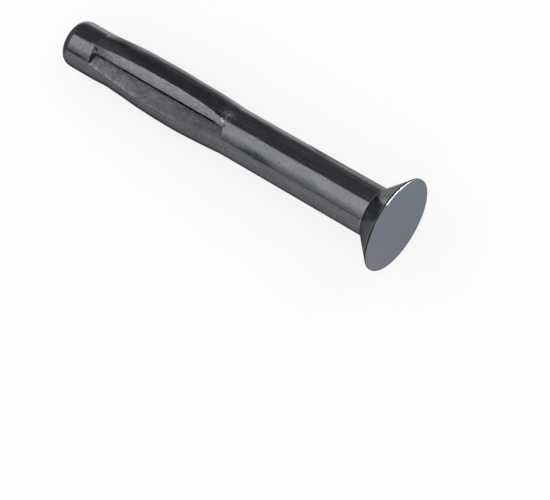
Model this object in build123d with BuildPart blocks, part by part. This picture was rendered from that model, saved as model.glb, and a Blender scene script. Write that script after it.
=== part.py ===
from build123d import *
from math import asin, atan2, cos, hypot, pi, radians, sin, sqrt
import os

os.makedirs("parts", exist_ok=True)

# Driving dimensions in millimetres
length = 50.8
shank_diameter = 6.35
head_diameter = 12.2
head_angle = 82.0
rim_land = 0.25
rim_rounding = 0.12
neck_radius = 0.5
tip_rounding = 0.35
tip_land = 4.3
split_length = 21.8

# How far the two half-round legs have moved, and how deep and at what slope they are pressed
leg_bow = 0.86
leg_spread = 0.46
press_tip = 1.10
press_middle = 2.54
press_head = 0.80
press_slope = 22.0

# The torn face that each leg shows between its crease and its lip
shear_gap = 0.19
tear_width = 1.40
tear_width_tip = 0.77
tear_width_head = 0.21
tear_fade_tip = 6
tear_fade_head = 9

# Sizes that follow from the driving dimensions
shank = shank_diameter / 2
rim = head_diameter / 2
cone_height = (rim - shank) / sin(radians(head_angle / 2)) * cos(radians(head_angle / 2))
cone_start = length - rim_land - cone_height
split_end = tip_land + split_length
stations = 12

# Rest pose: the anchor lies on its head rim and on the rounded edge of its tip
tip_core = shank - tip_rounding
rest_run = length - rim_land - tip_rounding
tilt = atan2(rim - tip_core, rest_run) - asin(tip_rounding / hypot(rim - tip_core, rest_run))
tip_lift = tip_core * cos(tilt) + tip_rounding - tip_rounding * sin(tilt)
tip_reach = tip_rounding * cos(tilt) - tip_core * sin(tilt) - tip_rounding
face_reach = (length - rim_rounding) * cos(tilt) + (rim - rim_rounding) * sin(tilt) + rim_rounding
start = (-(tip_reach + face_reach) / 2, 0, tip_lift)
along = (cos(tilt), 0, sin(tilt))
lying = Plane(origin=start, x_dir=(0, 1, 0), z_dir=along)


# Amount of bowing, none at both ends of the split and full in its middle
def bowing(share):
    return sin(pi * share)


# Corners of one leg's section, as pairs across and along the bow
def corners(share):
    bow = leg_bow * bowing(share)
    spread = leg_spread * bowing(share)
    press_end = press_tip + (press_head - press_tip) * share
    press = press_end + (press_middle - press_end) * bowing(share)
    crease = (-shear_gap, shank - press)
    fade = (tear_width - tear_width_tip) * (1 - share) ** tear_fade_tip
    fade += (tear_width - tear_width_head) * share ** tear_fade_head
    lip = on_leg(spread, bow, asin((tear_width - fade - spread) / shank))
    # The pressed face falls from the other leg's crease at its slope, until it meets this leg's round
    slope = radians(press_slope)
    back = (shear_gap - spread) * cos(slope) + (shank - press + bow) * sin(slope)
    room = shank ** 2 - (shear_gap - spread) ** 2 - (shank - press + bow) ** 2
    face = sqrt(back ** 2 + room) - back
    ridge = (shear_gap + face * cos(slope), press - shank - face * sin(slope))
    lip_turn = atan2(lip[0] - spread, lip[1] - bow)
    ridge_turn = atan2(ridge[0] - spread, ridge[1] - bow)
    flank = on_leg(spread, bow, (lip_turn + ridge_turn) / 2)
    return crease, lip, flank, ridge


# A point on a leg's round, its turn measured from the bow direction
def on_leg(spread, bow, turn):
    return (spread + shank * sin(turn), bow + shank * cos(turn))


# The same corner of the other leg, half a turn about the axis
def opposite(point):
    return (-point[0], -point[1])


with BuildPart() as anchor:
    # Round shank below the split, neck, countersunk head and its rim
    with BuildSketch(lying.offset(split_end)):
        Circle(shank)
    extrude(amount=cone_start - split_end)
    with BuildSketch(lying.offset(cone_start)):
        Circle(shank)
    with BuildSketch(lying.offset(length - rim_land)):
        Circle(rim)
    loft()
    with BuildSketch(lying.offset(length - rim_land)):
        Circle(rim)
    extrude(amount=rim_land)

    # Neck and head edges are softened by the heading dies
    neck = anchor.edges().filter_by(GeomType.CIRCLE).sort_by_distance(lying.offset(cone_start).origin)[0]
    fillet(neck, neck_radius)
    face_rim = anchor.edges().filter_by(GeomType.CIRCLE).sort_by(Axis(start, along))[-1]
    fillet(face_rim, rim_rounding)

    # Round land at the tip, its end edge rounded where the wire was cropped
    with BuildSketch(lying):
        Circle(shank)
    extrude(amount=tip_land)
    tip_edge = anchor.edges().filter_by(GeomType.CIRCLE).sort_by(Axis(start, along))[0]
    fillet(tip_edge, tip_rounding)

    # The split: two half-round legs sheared past each other and bowed apart
    for number in range(stations + 1):
        share = number / stations
        crease, lip, flank, ridge = corners(share)
        with BuildSketch(lying.offset(tip_land + split_length * share)):
            with BuildLine():
                Line(crease, lip)
                ThreePointArc(lip, flank, ridge)
                Line(ridge, opposite(crease))
                Line(opposite(crease), opposite(lip))
                ThreePointArc(opposite(lip), opposite(flank), opposite(ridge))
                Line(opposite(ridge), crease)
            make_face()
    loft()

anchor.part.label = "anchor"
export_step(anchor.part, "parts/anchor.step")
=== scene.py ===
from math import asin, atan2, cos, hypot, pi, radians, sin, sqrt

import bmesh
import bpy
from mathutils import Matrix, Quaternion, Vector, noise


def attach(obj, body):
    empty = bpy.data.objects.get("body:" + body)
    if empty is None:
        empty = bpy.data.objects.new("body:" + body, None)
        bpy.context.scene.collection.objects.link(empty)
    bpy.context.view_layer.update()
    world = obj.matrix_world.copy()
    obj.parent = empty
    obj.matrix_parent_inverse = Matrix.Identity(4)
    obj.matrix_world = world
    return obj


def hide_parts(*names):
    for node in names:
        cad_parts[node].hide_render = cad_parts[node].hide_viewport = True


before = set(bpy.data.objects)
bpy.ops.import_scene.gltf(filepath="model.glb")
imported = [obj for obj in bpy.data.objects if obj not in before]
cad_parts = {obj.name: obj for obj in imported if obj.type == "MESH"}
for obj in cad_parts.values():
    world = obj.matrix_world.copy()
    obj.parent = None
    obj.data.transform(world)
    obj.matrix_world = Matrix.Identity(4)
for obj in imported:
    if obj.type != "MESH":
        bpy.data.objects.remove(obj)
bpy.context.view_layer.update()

# Anchor body. The real one is one length of drawn steel wire with a flat countersunk head upset on it.
# A press tool then shears it lengthwise near the tip and pushes the two half-round legs past each other.
# Sizes are in millimetres in the anchor's own frame: x from tip to head, y across the legs, z along the bow.
mm = 0.001
length = 50.8
shank = 3.175
tip_rounding = 0.35
tip_softness = 1.0
tip_core = shank - tip_rounding
tip_land = 4.3
split_length = 21.8
split_end = tip_land + split_length

# Head. Its cone starts where the photograph has the neck line, a little nearer to the face than in the solid
rim = 6.1
rim_land = 0.25
rim_rounding = 0.12
cone_start = 47.6
cone_end = length - rim_land
neck_radius = 0.2
neck_turn = atan2(rim - shank, cone_end - cone_start)

# How far the legs have moved, and how deep and at what slope the tool has pressed them
leg_bow = 0.86
leg_spread = 0.46
press_tip = 1.10
press_middle = 2.54
press_head = 0.80
press_slope = radians(22)
shear_gap = 0.19

# Torn face: its width from crease to lip, how late it narrows towards each end, and the lip's wear and waver,
# which set in from both ends of the split
tear_width = 1.40
tear_width_tip = 0.77
tear_width_head = 0.21
tear_fade_tip = 6
tear_fade_head = 9
lip_wear = 0.15
lip_waver = 0.07
lip_onset = 4

# Where the round of each leg was flattened a little as it bowed, as places along it and depths
leg_flats = (
    ((10.0, 0), (14.0, 0.08), (19.0, 0.10), (23.0, 0)),
    ((4.0, 0), (7.2, 0.26), (8.8, 0.25), (12.5, 0.13), (15.0, 0.07), (18.5, 0)),
)

# Vertices round the wire: each half turn has the torn face, the round and the pressed face of one leg, and
# they crowd towards the edges of each
torn_steps = 36
round_steps = 46
pressed_steps = 46
crease_steps = 68
half_turn = torn_steps + round_steps + pressed_steps
lip_place = torn_steps / half_turn
ridge_place = (torn_steps + round_steps) / half_turn
crease_turn = pi * crease_steps / half_turn
torn_crowding = 0.6
round_crowding = 0.5
pressed_crowding = 0.5
corner_reach = 0.6 / half_turn

# The open crack at the foot of each torn face: how far it reaches to both sides, its depth, the mean share
# and the waver of that depth, and how wide it stands open along the wire
crack_torn = 0.30
crack_pressed = 0.12
crack_depth = 0.50
crack_mean = 0.8
crack_waver = 0.4
crack_opening = (
    (5.0, 0.5), (8.2, 0.5), (9.4, 1), (13.0, 1), (13.4, 0.5), (13.8, 1), (18.8, 1), (19.2, 0.55), (19.6, 1),
    (23.2, 1), (25.0, 0.15),
)


def smooth(part):
    """A share from 0 to 1 that starts and ends gently."""
    part = min(1.0, max(0.0, part))
    return part * part * (3 - 2 * part)


def crowd(part, amount):
    """Evenly spaced shares moved towards both ends of their stretch."""
    return part - amount * sin(2 * pi * part) / (2 * pi)


def along_keys(part, keys):
    """A value read between keys, each a place and the value there."""
    if part <= keys[0][0]:
        return keys[0][1]
    for (start, first), (stop, last) in zip(keys, keys[1:]):
        if part <= stop:
            return first + (last - first) * smooth((part - start) / (stop - start))
    return keys[-1][1]


def waver(x, track, reach):
    """A small wandering along the wire, different for each track."""
    slow = noise.noise(Vector((x * 0.9, track * 7.3, 0)))
    quick = noise.noise(Vector((x * 4, track * 3.1, 5)))
    return (slow + quick / 2) * reach


def leg_corners(x, leg):
    """One leg's centre, crease, lip and ridge at a distance from the tip."""
    share = min(1.0, max(0.0, (x - tip_land) / split_length))
    bowing = sin(pi * share)
    centre = Vector((leg_spread, leg_bow)) * bowing
    press_end = press_tip + (press_head - press_tip) * share
    press = press_end + (press_middle - press_end) * bowing
    crease = Vector((-shear_gap, shank - press))
    tear = tear_width - (tear_width - tear_width_tip) * (1 - share) ** tear_fade_tip
    tear -= (tear_width - tear_width_head) * share ** tear_fade_head
    tear += (waver(x, leg, lip_waver) - lip_wear) * min(1.0, lip_onset * bowing)
    lip = Vector((tear, centre.y + sqrt(shank ** 2 - (tear - centre.x) ** 2)))
    # The pressed face falls from the other leg's crease at its slope, until it meets this leg's round
    back = (shear_gap - centre.x) * cos(press_slope) + (shank - press + centre.y) * sin(press_slope)
    room = shank ** 2 - (shear_gap - centre.x) ** 2 - (shank - press + centre.y) ** 2
    face = sqrt(back ** 2 + room) - back
    ridge = Vector((shear_gap + face * cos(press_slope), press - shank - face * sin(press_slope)))
    return centre, crease, lip, ridge


def leg_outline(x, place):
    """A point on the outline of both legs, place running from 0 to 2 and from 0 to 1 on the first leg."""
    leg = int(place % 2)
    part = place % 1
    centre, crease, lip, ridge = leg_corners(x, leg)
    if part < lip_place:
        point = crease.lerp(lip, crowd(part / lip_place, torn_crowding))
    elif part < ridge_place:
        lip_turn = atan2(lip.y - centre.y, lip.x - centre.x)
        ridge_turn = atan2(ridge.y - centre.y, ridge.x - centre.x)
        round_part = (part - lip_place) / (ridge_place - lip_place)
        turn = lip_turn + (ridge_turn - lip_turn) * crowd(round_part, round_crowding)
        flat = along_keys(x, leg_flats[leg]) * sin(pi * round_part)
        point = centre + Vector((cos(turn), sin(turn))) * (shank - flat)
    else:
        point = ridge.lerp(-crease, crowd((part - ridge_place) / (1 - ridge_place), pressed_crowding))
    return point if leg == 0 else -point


def rounded_outline(x, place):
    """The outline with its corners rounded by averaging over a short stretch."""
    total = Vector((0, 0))
    for step, weight in ((-2, 1), (-1, 2), (0, 3), (1, 2), (2, 1)):
        total += leg_outline(x, place + step * corner_reach) * weight
    return total / 9


# The step at each end of the split stands askew, and it is a ramp on the torn side. Each row has places round
# a leg, with how far the step is moved there or how long it is.
tip_step = ((0, 0.27), (lip_place, -0.68), (0.5, 0), (ridge_place, 0.36), (1, 0.27))
tip_ramp = ((0, 0.05), (lip_place, 0.9), (0.5, 0.9), (ridge_place, 0.05), (1, 0.05))
head_step = ((0, -0.08), (lip_place, 0), (0.5, 0), (ridge_place, 0.2), (1, -0.08))
head_ramp = ((0, 0.05), (lip_place, 0.3), (0.5, 0.5), (ridge_place, 0.8), (0.9, 0.25), (1, 0.05))
step_reach = 3.0
shortest_step = 0.05

# Rings along the wire, each a distance from the tip and a radius: tip with its rubbed edge, tip land, split,
# plain shank, rounded neck, cone, rounded rim and face
meridian = [(0, tip_core * part) for part in (0, 0.2, 0.4, 0.6, 0.8, 0.93)]
for step in range(13):
    turn = radians(90) * step / 12
    meridian.append((tip_softness * (1 - cos(turn)), shank - tip_rounding * (1 - sin(turn))))
for step in range(1, 20):
    meridian.append((tip_softness + (tip_land - tip_softness) * step / 20, shank))
meridian += [(tip_land - shortest_step / 2, shank), (tip_land, shank)]
split_rings = 180
for step in range(split_rings + 1):
    inside = (split_length - 2 * shortest_step) * step / split_rings
    meridian.append((tip_land + shortest_step + inside, shank))
meridian += [(split_end, shank), (split_end + shortest_step / 2, shank)]
neck_run = neck_radius * (1 - cos(neck_turn)) / sin(neck_turn)
shank_rings = 60
for step in range(1, shank_rings + 1):
    meridian.append((split_end + (cone_start - neck_run - split_end) * step / shank_rings, shank))
for step in range(1, 9):
    turn = neck_turn * step / 8
    meridian.append((cone_start - neck_run + neck_radius * sin(turn), shank + neck_radius * (1 - cos(turn))))
neck_x, neck_out = meridian[-1]
for step in range(1, 17):
    part = step / 16
    meridian.append((neck_x + (cone_end - neck_x) * part, neck_out + (rim - neck_out) * part))
for step in range(9):
    turn = radians(90) * step / 8
    meridian.append((length - rim_rounding * (1 - sin(turn)), rim - rim_rounding * (1 - cos(turn))))
for part in (0.96, 0.85, 0.7, 0.5, 0.3, 0.15, 0):
    meridian.append((length, (rim - rim_rounding) * part))

wire = bmesh.new()
points = [wire.verts.new((x, radius, 0)) for x, radius in meridian]
edges = [wire.edges.new(pair) for pair in zip(points, points[1:])]
bmesh.ops.spin(
    wire, geom=points + edges, cent=(0, 0, 0), axis=(1, 0, 0),
    angle=2 * pi, steps=2 * half_turn, use_merge=True,
)
bmesh.ops.remove_doubles(wire, verts=wire.verts, dist=1e-5)

# Shares from 0 to 1 that the zinc's shader reads: the torn face, the pressed face, its rubbed ridge, the
# painted shade of the crack and of the step behind the tip land, and painted shade with some grime on the
# pressed face beside the crack
layer_names = ("torn", "pressed", "ridged", "shadowed", "crack_shade_and_grime")
torn, pressed, ridged, shadowed, crack_shade_and_grime = [wire.verts.layers.float.new(name) for name in layer_names]

# How quickly the worked faces set in at the steps, the height of their grain, and the widths of the rest
worked_onset = 6
pressed_grain = 0.03
grain_onset = 0.08
ridge_width = 0.55
crack_shade_width = 1.3
crack_darkness = 2.6
step_shadow = 0.2

# The plain round is carried onto the outline of the legs between the two steps
for vert in wire.verts:
    ring, y, z = vert.co
    radius = hypot(y, z)
    if radius < 1e-4:
        continue
    place = ((crease_turn - atan2(z, y)) / pi) % 2
    part = place % 1
    x = ring + along_keys(part, tip_step) * smooth(1 - abs(ring - tip_land) / step_reach)
    x += along_keys(part, head_step) * smooth(1 - abs(ring - split_end) / step_reach)
    outside = max(tip_land - ring, ring - split_end, 0)
    follow = smooth(1 - outside / step_reach)
    if follow == 0:
        continue
    outline = rounded_outline(x, place)
    even = Vector((y, z)) / radius
    kept_round = even.lerp(outline.normalized(), follow).normalized() * radius
    opened = smooth((ring - tip_land) / along_keys(part, tip_ramp))
    opened *= smooth((split_end - ring) / along_keys(part, head_ramp))
    across = kept_round.lerp(outline, opened)
    if opened > 0:
        leg = int(place)
        centre, crease, lip, ridge = leg_corners(x, leg)
        crease = crease if leg == 0 else -crease
        if part > 0.5:
            crease = -crease
        depth = along_keys(x, crack_opening) * (crack_mean + waver(x, 9 + leg, crack_waver)) * opened
        from_crease = (across - crease).length
        near = max(0.0, 1 - from_crease / (crack_torn if part < 0.5 else crack_pressed))
        across -= crease.normalized() * near * depth * crack_depth
        if part < lip_place:
            vert[torn] = min(1.0, opened * worked_onset)
        elif part > ridge_place:
            vert[pressed] = min(1.0, opened * worked_onset)
            grain = noise.noise(Vector((x * 3.1, across.x * 4, across.y * 4)))
            grain_reach = pressed_grain * smooth((part - ridge_place) / grain_onset)
            across += across.normalized() * grain * grain_reach * opened
            from_ridge = (across - (ridge if leg == 0 else -ridge)).length
            vert[ridged] = smooth(1 - from_ridge / ridge_width) * opened
            # Painted shade with some grime on the pressed face beside the crack
            vert[crack_shade_and_grime] = smooth(1 - from_crease / crack_shade_width) * opened
        vert[shadowed] = min(1.0, near * crack_darkness * depth)
    if tip_land - 0.01 < ring < tip_land + step_shadow:
        taper = smooth((part - ridge_place) / 0.1) + 0.6 * smooth(1 - part / lip_place)
        vert[shadowed] = max(vert[shadowed], taper * smooth(1.2 - (ring - tip_land) / step_shadow))
    vert.co = (x, *across)
bmesh.ops.recalc_face_normals(wire, faces=wire.faces)
for face in wire.faces:
    face.smooth = True

# The anchor lies on its head rim and on the rounded edge of its tip
rest_run = cone_end - tip_rounding
tilt = atan2(rim - tip_core, rest_run) - asin(tip_rounding / hypot(rim - tip_core, rest_run))
tip_lift = tip_core * cos(tilt) + tip_rounding - tip_rounding * sin(tilt)
tip_reach = tip_rounding * cos(tilt) - tip_core * sin(tilt) - tip_rounding
face_reach = (length - rim_rounding) * cos(tilt) + (rim - rim_rounding) * sin(tilt) + rim_rounding
placed = Matrix.Translation((-(tip_reach + face_reach) / 2, 0, tip_lift)) @ Matrix.Rotation(-tilt, 4, "Y")
lying = Matrix.Scale(mm, 4) @ placed
bmesh.ops.transform(wire, matrix=lying, verts=wire.verts)
mesh = bpy.data.meshes.new("anchor_body")
wire.to_mesh(mesh)
wire.free()
anchor = bpy.data.objects.new("anchor_body", mesh)
bpy.context.collection.objects.link(anchor)
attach(anchor, "root")
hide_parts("anchor")


# Zinc plate. Bright electroplated zinc over drawn wire: nearly a mirror along the shank, with faint draw
# lines and a few pits, and duller where the steel was torn open or pressed by the tool.
class Shade:
    """A shader value: Python's operators add Math nodes, and node() adds any other kind."""

    def __init__(self, tree, socket=None):
        self.tree = tree
        self.socket = socket

    def node(self, kind, settings, inputs, output=0):
        made = self.tree.nodes.new("ShaderNode" + kind)
        for name, value in settings.items():
            if name == "stops":
                stops = made.color_ramp.elements
                stops.remove(stops[1])
                for number, (position, level) in enumerate(value):
                    stop = stops.new(position) if number else stops[0]
                    stop.position = position
                    stop.color = grey(level)
            else:
                setattr(made, name, value)
        wire_up(made, inputs)
        return Shade(self.tree, made.outputs[output])

    def math(self, operation, other, clamp=False):
        return self.node("Math", {"operation": operation, "use_clamp": clamp}, {0: self, 1: other})

    def __add__(self, other):
        return self.math("ADD", other)

    __radd__ = __add__

    def __mul__(self, other):
        return self.math("MULTIPLY", other)

    __rmul__ = __mul__

    def __sub__(self, other):
        return self.math("SUBTRACT", other)

    def __rsub__(self, other):
        return self * -1.0 + other

    def clamped(self):
        return self.math("ADD", 0.0, clamp=True)

    def rising(self, start, over):
        """0 up to a start, and from there rising to 1 over a distance."""
        return ((self - start) * (1 / over)).clamped()

    def falling(self, end, over):
        """0 from an end onwards, and before it falling from 1 over a distance."""
        return ((end - self) * (1 / over)).clamped()

    def near(self, place, reach):
        """1 at a place and 0 from its reach outwards."""
        return (1.0 - (self - place).math("ABSOLUTE", 0.0) * (1 / reach)).clamped()

    def tint(self, dark, bright):
        """A colour between two, by this value."""
        return self.node("Mix", {"data_type": "RGBA"}, {0: self, 6: dark, 7: bright}, 2)

    def times(self, share, colour):
        """This colour multiplied by another, by a share."""
        settings = {"data_type": "RGBA", "blend_type": "MULTIPLY"}
        return self.node("Mix", settings, {0: share, 6: self, 7: colour}, 2)

    def ramp(self, stops):
        """A grey read between stops, each a position from 0 to 1 and its level."""
        return self.node("ValToRGB", {"stops": stops}, {"Fac": self})

    def attribute(self, name):
        return self.node("Attribute", {"attribute_name": name}, {}, "Fac")

    def part(self, letter):
        return self.node("SeparateXYZ", {}, {"Vector": self}, letter)

    def distance(self):
        return self.node("VectorMath", {"operation": "LENGTH"}, {0: self}, "Value")

    def stretched(self, scale):
        return self.node("VectorMath", {"operation": "MULTIPLY"}, {0: self, 1: scale})

    def pushed(self, scale, reach):
        """This point pushed about by a noise."""
        push = self.node("TexNoise", {}, {"Vector": self, "Scale": scale, "Detail": 2.0}, "Color")
        inputs = {0: push, 1: (reach, reach, reach), 2: self}
        return self.node("VectorMath", {"operation": "MULTIPLY_ADD"}, inputs)

    def spot(self, centre, reach):
        """A soft spot, 1 at its centre and 0 from its reach outwards along each axis."""
        offset = self.node("VectorMath", {"operation": "SUBTRACT"}, {0: self, 1: centre})
        return (1.0 - offset.stretched([1 / size for size in reach]).distance()).clamped()

    def grain(self, scale, detail):
        """A noise about zero."""
        return self.node("TexNoise", {}, {"Vector": self, "Scale": scale, "Detail": detail}, "Fac") - 0.5

    def cells(self, scale):
        """The distance from the middle of the nearest cell, in shares of a cell."""
        return self.node("TexVoronoi", {}, {"Vector": self, "Scale": scale}, "Distance")


def grey(level):
    return (level, level, level, 1)


def wire_up(node, inputs):
    """Sets a node's sockets to values, or links them to Shades."""
    for key, value in inputs.items():
        if isinstance(value, Shade):
            value.tree.links.new(value.socket, node.inputs[key])
        else:
            node.inputs[key].default_value = value


def new_finish(name):
    """A material, its Principled node and a first Shade to make others from."""
    material = bpy.data.materials.new(name)
    material.use_nodes = True
    tree = material.node_tree
    return material, tree.nodes["Principled BSDF"], Shade(tree)


zinc, bsdf, maker = new_finish("bright zinc plate")
object_point = maker.node("TexCoord", {}, {}, "Object")
upright = placed.inverted()
own_point = maker.node("Mapping", {}, {
    "Vector": object_point,
    "Scale": (1 / mm, 1 / mm, 1 / mm),
    "Rotation": upright.to_euler(),
    "Location": upright.translation,
})
along = own_point.part("X")
across = own_point.part("Y")
outward = own_point.stretched((0, 1, 1)).distance()
turned = across.math("ARCTAN2", own_point.part("Z")) * (180 / pi)
is_torn, is_pressed, is_ridged, is_shadowed, is_crack_shade_and_grime = [maker.attribute(name) for name in layer_names]
is_worked = (is_torn + is_pressed).clamped()

# Parts of the head
is_face = along.rising(length - 0.1, 0.05)
is_cone = along.rising(cone_start, 1 / 3) - is_face
is_rim = along.rising(cone_end - 0.1, 1 / 12) - is_face
is_edge = outward.rising(rim - rim_rounding, 1 / 30) * along.rising(length - rim_rounding, 1 / 30)
# A painted highlight along the neck
painted_neck_highlight = along.near(cone_start, 1 / 9)

# Patterns of the plate and of the worked steel
draw_lines = own_point.stretched((0.12, 5.0, 5.0)).grain(1.0, 4.0)
clouds = own_point.stretched((0.5, 1.0, 1.0)).grain(0.7, 3.0)
ripples = own_point.stretched((0.8, 1.0, 1.0)).grain(0.7, 1.0)
fine_grain = own_point.grain(5.0, 4.0)
blotches = own_point.grain(2.2, 3.0)
stains = own_point.stretched((0.6, 1.0, 1.0)).grain(1.1, 2.0)
tear_lines = own_point.stretched((0.5, 5.0, 5.0)).grain(1.0, 3.0)
cross_marks = own_point.stretched((6.0, 1.6, 1.6)).grain(1.0, 3.0)

# Where the plate has painted light streaks of its draw lines, where it is pitted, specked, stained or
# chipped, and a seam of the wire with a painted dark reflection line along it
painted_streak_band = across.rising(0.9, 1 / 3) * across.falling(3.0, 0.25)
seam_with_painted_line = (across + 1.15 + ripples * 1.2).near(0.0, 5 / 13)
uneven_point = own_point.pushed(2.2, 0.7)
pits = uneven_point.cells(1.3).falling(0.19, 0.125) * clouds.rising(-0.04, 1 / 12) * (1.0 - is_face * 0.8)
speck_spots = uneven_point.cells(3.1).falling(0.30, 0.125)
specks = speck_spots * (((stains - 0.05) * 9.0 + seam_with_painted_line * 1.2).clamped() * (1.0 - is_face * 0.6))
stained = (own_point.spot((31.8, -1.25, 2.9), (2.9, 0.55, 2.0)) * (blotches * 6.0 + 1.5)).clamped()
chipped = own_point.spot((25.7, 1.45, 2.9), (1.5, 0.95, 2.0))
chips = ((fine_grain * 2.6 + speck_spots * 0.4 + 0.42) * chipped * 1.3).clamped()

# Plain plate of the shank, clouded and stained
lower_side = across.falling(-1.0, 1.0)
plate_level = clouds * 1.6 + draw_lines * (painted_streak_band * 3.0 + 0.3) + blotches
plate_level += fine_grain * (painted_streak_band + lower_side * 3.0 + 1.7)
plate_level += along.rising(40.0, 5.0) * 0.25
# A painted dark reflection line along the seam
plate_level = (plate_level - seam_with_painted_line * 0.45 + 0.53).clamped()
plate = plate_level.tint((0.265, 0.28, 0.30, 1), (0.375, 0.38, 0.415, 1))
plate = (stains.rising(0.05, 0.25) * 0.6).tint(plate, (0.26, 0.30, 0.305, 1))
plate = plate.times(stained, (0.45, 0.47, 0.48, 1))

# Painted reflections: the upper side and the legs are warmer and darker, each with a thin painted line along
# it, dark on the upper side and light on the legs
painted_upper_reflection = across.rising(2.3, 5 / 9)
on_legs = along.falling(26.0, 2.5) * along.rising(4.6, 5 / 3)
plate = plate.times((painted_upper_reflection + on_legs * 0.8).clamped(), (1.0, 0.94, 0.985, 1))
plate = plate.times(on_legs * across.rising(0.9, 1.0) * 0.38, grey(0.35))
painted_dark_edge_line = across.near(3.02, 1 / 9) * along.falling(37.0, 10 / 3) * along.rising(26.0, 2.0)
plate = plate.times(painted_dark_edge_line * 0.45, grey(0.3))
painted_leg_light_line = across.near(2.80, 0.125) * on_legs * along.rising(8.0, 2.5)
plate = (painted_leg_light_line * 0.7).tint(plate, (0.62, 0.60, 0.63, 1))

# Single dark places, with centre, reach, strength and tint: a painted dark reflection line along the tip
# land, the upper edge behind it darkened as a painted reflection, and the plate above the head end of the
# split
for centre, reach, strength, dark in (
    ((2.4, -1.42, 2.84), (2.7, 0.22, 1.5), 1.5, grey(0.35)),
    ((7.4, 3.1, 1.0), (3.2, 1.3, 3.0), 1.5, grey(0.35)),
    ((25.2, 1.0, 2.9), (1.5, 0.34, 2.0), 1.6, (0.30, 0.29, 0.30, 1)),
):
    plate = plate.times(own_point.spot(centre, reach) * strength, dark)
# A painted brighter reflection on the upper side near the head
plate = (painted_upper_reflection * along.rising(37.5, 4.0)).tint(plate, (0.66, 0.64, 0.67, 1))

# Cone: painted reflections, as levels by the turn about the axis in degrees from the bow, standing for the
# dark and light things around it
cone_reflection_levels = (
    (-20, 0.67), (-15, 0.82), (-10, 1.0), (-5, 0.70), (0, 0.50), (5, 0.70), (10, 0.52), (15, 0.38),
    (20, 0.23), (25, 0.27), (30, 0.50), (35, 0.60), (50, 0.64),
)
cone_reflection_stops = [(degrees / 180 + 0.5, level) for degrees, level in cone_reflection_levels]
painted_cone_reflection = (turned * (1 / 180) + 0.5).ramp(cone_reflection_stops)
plate = is_cone.tint(plate, painted_cone_reflection.tint(grey(0), (0.87, 0.92, 1.0, 1)))

# Painted reflections of the draw lines: light streaks in the dark band above the middle of the wire
streak_breaks = blotches.rising(-0.15, 0.2)
line_strength = along.rising(22.0, 4.0) * 0.33 + 0.22
painted_line_reflections = (draw_lines * painted_streak_band * 5.0 - 0.1).clamped() * streak_breaks * line_strength
plate = painted_line_reflections.tint(plate, (0.74, 0.71, 0.74, 1))

# Face of the head, and then what lies on the plate anywhere
face_level = (across * 0.08 + clouds * 0.8 + 0.5).clamped()
face_colour = face_level.tint((0.20, 0.20, 0.255, 1), (0.178, 0.210, 0.247, 1))
face_grain = (fine_grain * 2.0 + blotches * 1.2).clamped() * 0.25
plate = is_face.tint(plate, face_grain.tint(face_colour, (0.30, 0.32, 0.35, 1)))
plate = (pits * 0.8 + specks * 0.65).clamped().tint(plate, (0.13, 0.135, 0.14, 1))
plate = chips.tint(plate, (0.44, 0.43, 0.44, 1))
# A painted highlight along the neck
plate = painted_neck_highlight.tint(plate, (0.80, 0.82, 0.85, 1))

# The rim, painted dark as a painted reflection of dark surroundings, and the edge of the face, with a painted
# glint on a stretch of the upper side
plate = is_rim.tint(plate, (0.06, 0.065, 0.07, 1))
plate = is_edge.tint(plate, (0.17, 0.18, 0.20, 1))
glint_stretch = turned.rising(12.0, 10 / 3) * turned.falling(60.0, 100 / 7)
painted_edge_glint = is_edge * glint_stretch * blotches.rising(-0.2, 0.2)
plate = painted_edge_glint.tint(plate, (0.95, 0.96, 0.98, 1))

# Torn faces, darker behind the tip land
from_land = along.rising(5.2, 4.0)
torn_level = from_land * 0.52 + tear_lines * 0.9 + fine_grain * 1.6 + blotches * (1.4 - from_land * 0.4)
torn_colour = (torn_level + 0.13).clamped().tint((0.17, 0.166, 0.175, 1), (0.55, 0.535, 0.555, 1))

# Pressed faces, marked across by the tool, bright along the ridge near the tip, and darkened beside the crack
# by painted shade with some grime
to_head = along.rising(12.0, 10.0)
streak = (is_ridged * blotches.rising(-0.1, 0.25)).clamped() * (1.0 - to_head)
marks = (cross_marks * 1.1 + fine_grain * 0.5 + blotches * 1.2) * (1.0 - to_head * 0.5) + stains * 0.9
pressed_level = (marks + streak * 0.8 - is_crack_shade_and_grime * 0.32 - to_head * 0.08 + 0.47).clamped()
pressed_colour = pressed_level.tint((0.262, 0.254, 0.272, 1), (0.68, 0.66, 0.695, 1))

colour = is_pressed.tint(plate, pressed_colour)
colour = is_torn.tint(colour, torn_colour)
colour = is_shadowed.tint(colour, (0.012, 0.012, 0.013, 1))

# Dark spots, one a nick in a torn face, the others at both ends of the split, and two painted glints at the
# head end
dark_spots = (
    ((25.95, 0.02, 3.17), (0.5, 0.16, 1.0)),
    ((17.2, 1.32, 2.85), (0.7, 0.10, 1.0)),
    ((4.6, 0.38, 2.9), (0.35, 0.30, 1.5)),
    ((5.5, -0.12, 2.6), (0.4, 0.2, 1.5)),
)
painted_glints = (
    ((25.58, 0.42, 3.15), (0.22, 0.16, 1.0)),
    ((25.3, 0.62, 3.1), (0.14, 0.10, 1.0)),
)
dark_marks = sum(own_point.spot(centre, reach) for centre, reach in dark_spots)
colour = (dark_marks * 1.6).clamped().tint(colour, (0.02, 0.02, 0.022, 1))
painted_glint_marks = sum(own_point.spot(centre, reach) for centre, reach in painted_glints)
colour = (painted_glint_marks * 1.8).clamped().tint(colour, (0.95, 0.95, 0.96, 1))

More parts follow.
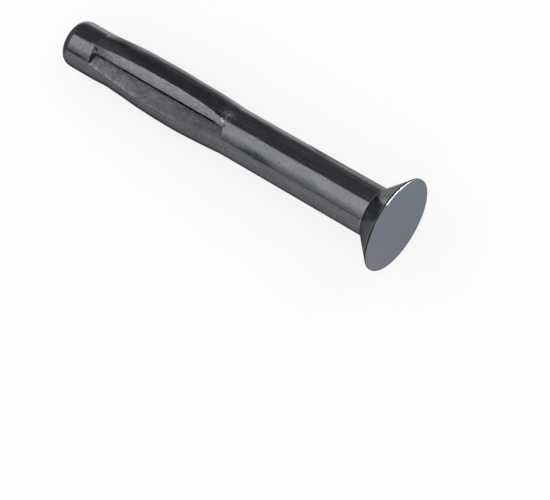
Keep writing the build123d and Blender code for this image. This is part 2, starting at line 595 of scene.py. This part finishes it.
# Relief in millimetres, and how metallic and how rough each place is
worked_relief = fine_grain * 0.03 + cross_marks * is_pressed * 0.03
plate_relief = ripples * 0.014 + draw_lines * 0.003 + fine_grain * 0.001 - pits * 0.012 - specks * 0.004
relief = is_worked * worked_relief + (1.0 - is_worked) * plate_relief
bumped = maker.node("Bump", {}, {"Strength": 1.0, "Distance": mm, "Height": relief}, "Normal")
plate_roughness = 0.13 + draw_lines * 0.2 + chips * 0.3
wire_up(bsdf, {
    "Base Color": colour,
    "Metallic": (1.0 - is_torn * 0.55 - is_shadowed * 0.5 - chips * 0.09).clamped(),
    "Roughness": (plate_roughness + is_torn * 0.45 + is_pressed * 0.27 + is_shadowed * 0.4).clamped(),
    "Normal": bumped,
    "Specular Tint": grey(0.6),
})
mesh.materials.append(zinc)

# Floor: one large sheet of pale matt paper. The camera, gloss and glass see it mostly as plain white,
# and it keeps a soft shadow of the anchor.
bpy.ops.mesh.primitive_plane_add(size=4, location=(0, 0, 0))
floor = bpy.context.object
floor.name = "floor"
paper, bsdf, maker = new_finish("floor paper")
wire_up(bsdf, {"Base Color": grey(0.95), "Roughness": 0.9, "Specular IOR Level": 0.0})
paper_white = 0.78
sight = maker.node("LightPath", {}, {}, "Is Camera Ray")
sight = sight + maker.node("LightPath", {}, {}, "Is Glossy Ray")
sight = sight + maker.node("LightPath", {}, {}, "Is Transmission Ray")
lit = Shade(maker.tree, bsdf.outputs[0])
white = maker.node("Emission", {}, {"Color": grey(1), "Strength": 1.0})
seen = maker.node("MixShader", {}, {0: sight.clamped() * paper_white, 1: lit, 2: white})
wire_up(maker.tree.nodes["Material Output"], {"Surface": seen})
floor.data.materials.append(paper)

# Surroundings: even white light from all sides
daylight = 0.97
world = bpy.data.worlds.new("studio")
bpy.context.scene.world = world
world.use_nodes = True
wire_up(world.node_tree.nodes["Background"], {"Color": grey(1), "Strength": daylight})

# Light tent: a half round of cloth over the anchor that only its gloss sees, with a bright panel overhead,
# a dark flag on the far side, dimmer cloth on the near side and a narrow dark gap in it.
tent_radius = 0.2
tent_length = 1.0
tent_light = 0.70


def only_in_gloss(piece):
    piece.visible_camera = False
    piece.visible_diffuse = False
    piece.visible_shadow = False
    piece.visible_transmission = False


cloth_form = bmesh.new()
ends = [cloth_form.verts.new((x, tent_radius, 0)) for x in (-tent_length / 2, tent_length / 2)]
rod = cloth_form.edges.new(ends)
bmesh.ops.spin(cloth_form, geom=[*ends, rod], cent=(0, 0, 0), axis=(1, 0, 0), angle=pi, steps=64)
tent_mesh = bpy.data.meshes.new("light_tent")
cloth_form.to_mesh(tent_mesh)
cloth_form.free()
tent = bpy.data.objects.new("light_tent", tent_mesh)
bpy.context.collection.objects.link(tent)
only_in_gloss(tent)


def glowing(name, light):
    """A material that gives off the light that a function works out from the object's own point."""
    material, bsdf, maker = new_finish(name)
    maker.tree.nodes.remove(bsdf)
    point = maker.node("TexCoord", {}, {}, "Object")
    glow = maker.node("Emission", {}, {"Color": light(point)})
    wire_up(maker.tree.nodes["Material Output"], {"Surface": glow})
    return material


def tent_glow(point):
    """Light by the turn about the wire, from 0 at the far horizon to 1 at the near one."""
    turn = 0.5 - point.part("Y").math("ARCTAN2", point.part("Z")) * (1 / pi)
    stops = (
        (0.0, 0.12), (0.352, 0.12), (0.372, 1.0), (0.585, 1.0), (0.66, 0.72), (0.74, 0.49), (0.788, 0.48),
        (0.796, 0.10), (0.810, 0.10), (0.818, 0.46), (0.92, 0.53), (1.0, 0.53),
    )
    dimmed = turn.ramp([(position, level * tent_light) for position, level in stops])
    return dimmed.tint((0.006, 0, 0.008, 1), grey(1))


tent_mesh.materials.append(glowing("tent cloth", tent_glow))

# Cards that only its gloss sees: one on the floor, dark beyond the anchor and grey before it, a smaller
# one beside the neck, a dark one at the tip's end of the tent, and two bright ones that light the head's
# edge, one above the anchor and one on the floor beyond the head.


def card(name, size, centre, facing, light):
    """A flat card of a size, its centre and the way it faces in metres."""
    form = bmesh.new()
    bmesh.ops.create_grid(form, x_segments=1, y_segments=1, size=0.5)
    bmesh.ops.scale(form, vec=(*size, 1), verts=form.verts)
    turn = Vector(facing).to_track_quat("Z", "Y").to_matrix().to_4x4()
    bmesh.ops.transform(form, matrix=Matrix.Translation(centre) @ turn, verts=form.verts)
    card_mesh = bpy.data.meshes.new(name)
    form.to_mesh(card_mesh)
    form.free()
    made = bpy.data.objects.new(name, card_mesh)
    bpy.context.collection.objects.link(made)
    card_mesh.materials.append(glowing(name, light))
    only_in_gloss(made)


def floor_glow(point):
    """Light across the floor, from 30 mm before the anchor to 30 mm beyond it."""
    stops = (
        (0.0, 0.33), (0.283, 0.33), (0.355, 0.29), (0.375, 0.20), (0.40, 0.12), (0.433, 0.05), (0.54, 0.10),
        (0.557, 0.60), (0.585, 0.95), (0.613, 1.0), (0.645, 0.94), (0.667, 0.72), (0.733, 0.27), (0.80, 0.12),
        (1.0, 0.10),
    )
    return (point.part("Y") * (1 / 0.06) + 0.5).ramp(stops)


def even_glow(level):
    return lambda point: grey(level)


edge_brightness = 3.0
card("floor_card", (0.5235, 0.6), (-0.23825, 0, 0.0002), (0, 0, 1), floor_glow)
card("neck_card", (0.012, 0.009), (0.014, 0.008, 0.0004), (0, 0, 1), even_glow(0.33))
card("end_card", (0.5, 0.5), (-0.20, 0, 0.1), (1, 0, 0), even_glow(0.14))
card("edge_light", (0.18, 0.20), (0.11, 0.139, 0.0975), (0, -0.139, -0.0975), even_glow(edge_brightness))
card("edge_floor", (0.046, 0.106), (0.047, 0.067, 0.0004), (0, 0, 1), even_glow(edge_brightness))

# Key lamp: a soft square light from the head's end and beyond, for the shadow on the floor
lamp = bpy.data.lights.new("key", "AREA")
lamp.shape = "RECTANGLE"
lamp.size = 0.3
lamp.size_y = 0.3
lamp.energy = 0.6
key = bpy.data.objects.new("key", lamp)
key.location = (0.35, 0.45, 0.5)
key.rotation_euler = (-key.location).to_track_quat("-Z", "Y").to_euler()
bpy.context.collection.objects.link(key)

# Camera, at the photograph's viewing angle, with its places in the anchor's own frame
lens_data = bpy.data.cameras.new("camera")
lens_data.sensor_width = 36
lens_data.lens = 119.07
lens_data.clip_start = 0.01
lens_data.clip_end = 10
camera = bpy.data.objects.new("camera", lens_data)
bpy.context.collection.objects.link(camera)
stand = lying @ Vector((128.90, 0, 198.59))
aim = lying @ Vector((38.73, -9.83, 0))
roll = radians(-66.76)
camera.location = stand
camera.rotation_mode = "QUATERNION"
camera.rotation_quaternion = (aim - stand).to_track_quat("-Z", "Y") @ Quaternion((0, 0, 1), roll)
bpy.context.scene.camera = camera
bpy.context.scene.view_settings.view_transform = "Standard"
